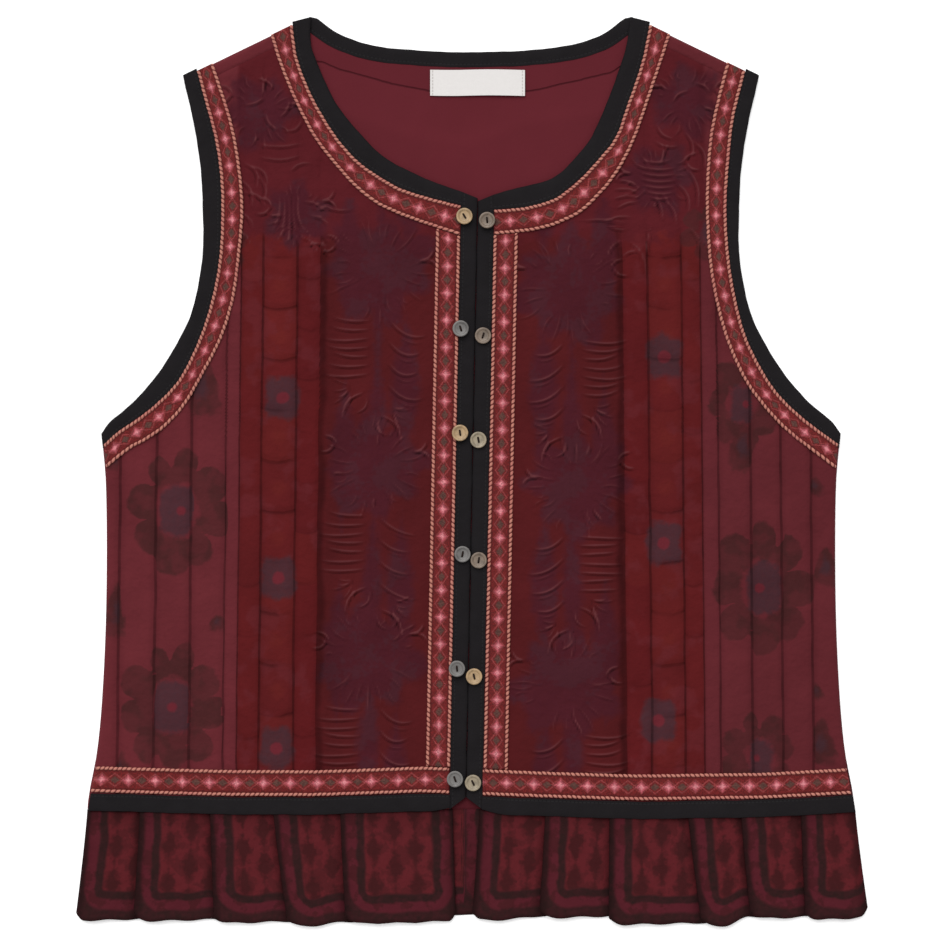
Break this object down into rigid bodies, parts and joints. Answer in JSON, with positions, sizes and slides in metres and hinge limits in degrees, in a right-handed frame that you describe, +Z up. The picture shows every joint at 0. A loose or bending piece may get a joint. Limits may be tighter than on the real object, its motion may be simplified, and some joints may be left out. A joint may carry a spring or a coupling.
{
  "type": "vest",
  "caption": "Short sleeveless folk vest laid flat, with quilted and embroidered fronts, bound edges, woven braid, paired buttons and a knife pleated ruffle at the hem.",
  "frame": {"origin": "centre of the vest's footprint on the surface that it lies on", "axes": "+X to the right seen from above, which is the wearer's left; +Y from the hem to the neck; +Z up from the surface"},
  "size_m": [0.5138, 0.5895, 0.0093],
  "materials": {
    "wine_cotton": "matt quilted cotton",
    "lining": "matt plain cotton",
    "black_binding": "matt cotton tape",
    "woven_braid": "woven braid with corded edges",
    "printed_ruffle": "matt block printed cotton",
    "button": "satin horn or coconut shell",
    "label_tape": "woven satin tape"
  },
  "bodies": {
    "root": {"front_left": "wine_cotton", "front_right": "wine_cotton", "back_shoulder_left": "wine_cotton", "back_shoulder_right": "wine_cotton", "back_panel": "lining", "neck_band_back": "black_binding", "neck_band_left": "black_binding", "neck_band_right": "black_binding", "arm_band_left": "black_binding", "arm_band_right": "black_binding", "arm_band_back_left": "black_binding", "arm_band_back_right": "black_binding", "centre_band_left": "black_binding", "centre_band_right": "black_binding", "hem_band_left": "black_binding", "hem_band_right": "black_binding", "hem_band_back": "black_binding", "neck_braid_left": "woven_braid", "neck_braid_right": "woven_braid", "arm_braid_left": "woven_braid", "arm_braid_right": "woven_braid", "centre_braid_left": "woven_braid", "centre_braid_right": "woven_braid", "hem_braid_left": "woven_braid", "hem_braid_right": "woven_braid", "ruffle_left": "printed_ruffle", "ruffle_right": "printed_ruffle", "ruffle_back": "printed_ruffle", "button_left_1": "button", "button_left_2": "button", "button_left_3": "button", "button_left_4": "button", "button_left_5": "button", "button_left_6": "button", "button_right_1": "button", "button_right_2": "button", "button_right_3": "button", "button_right_4": "button", "button_right_5": "button", "button_right_6": "button", "label": "label_tape"}
  },
  "joints": []
}
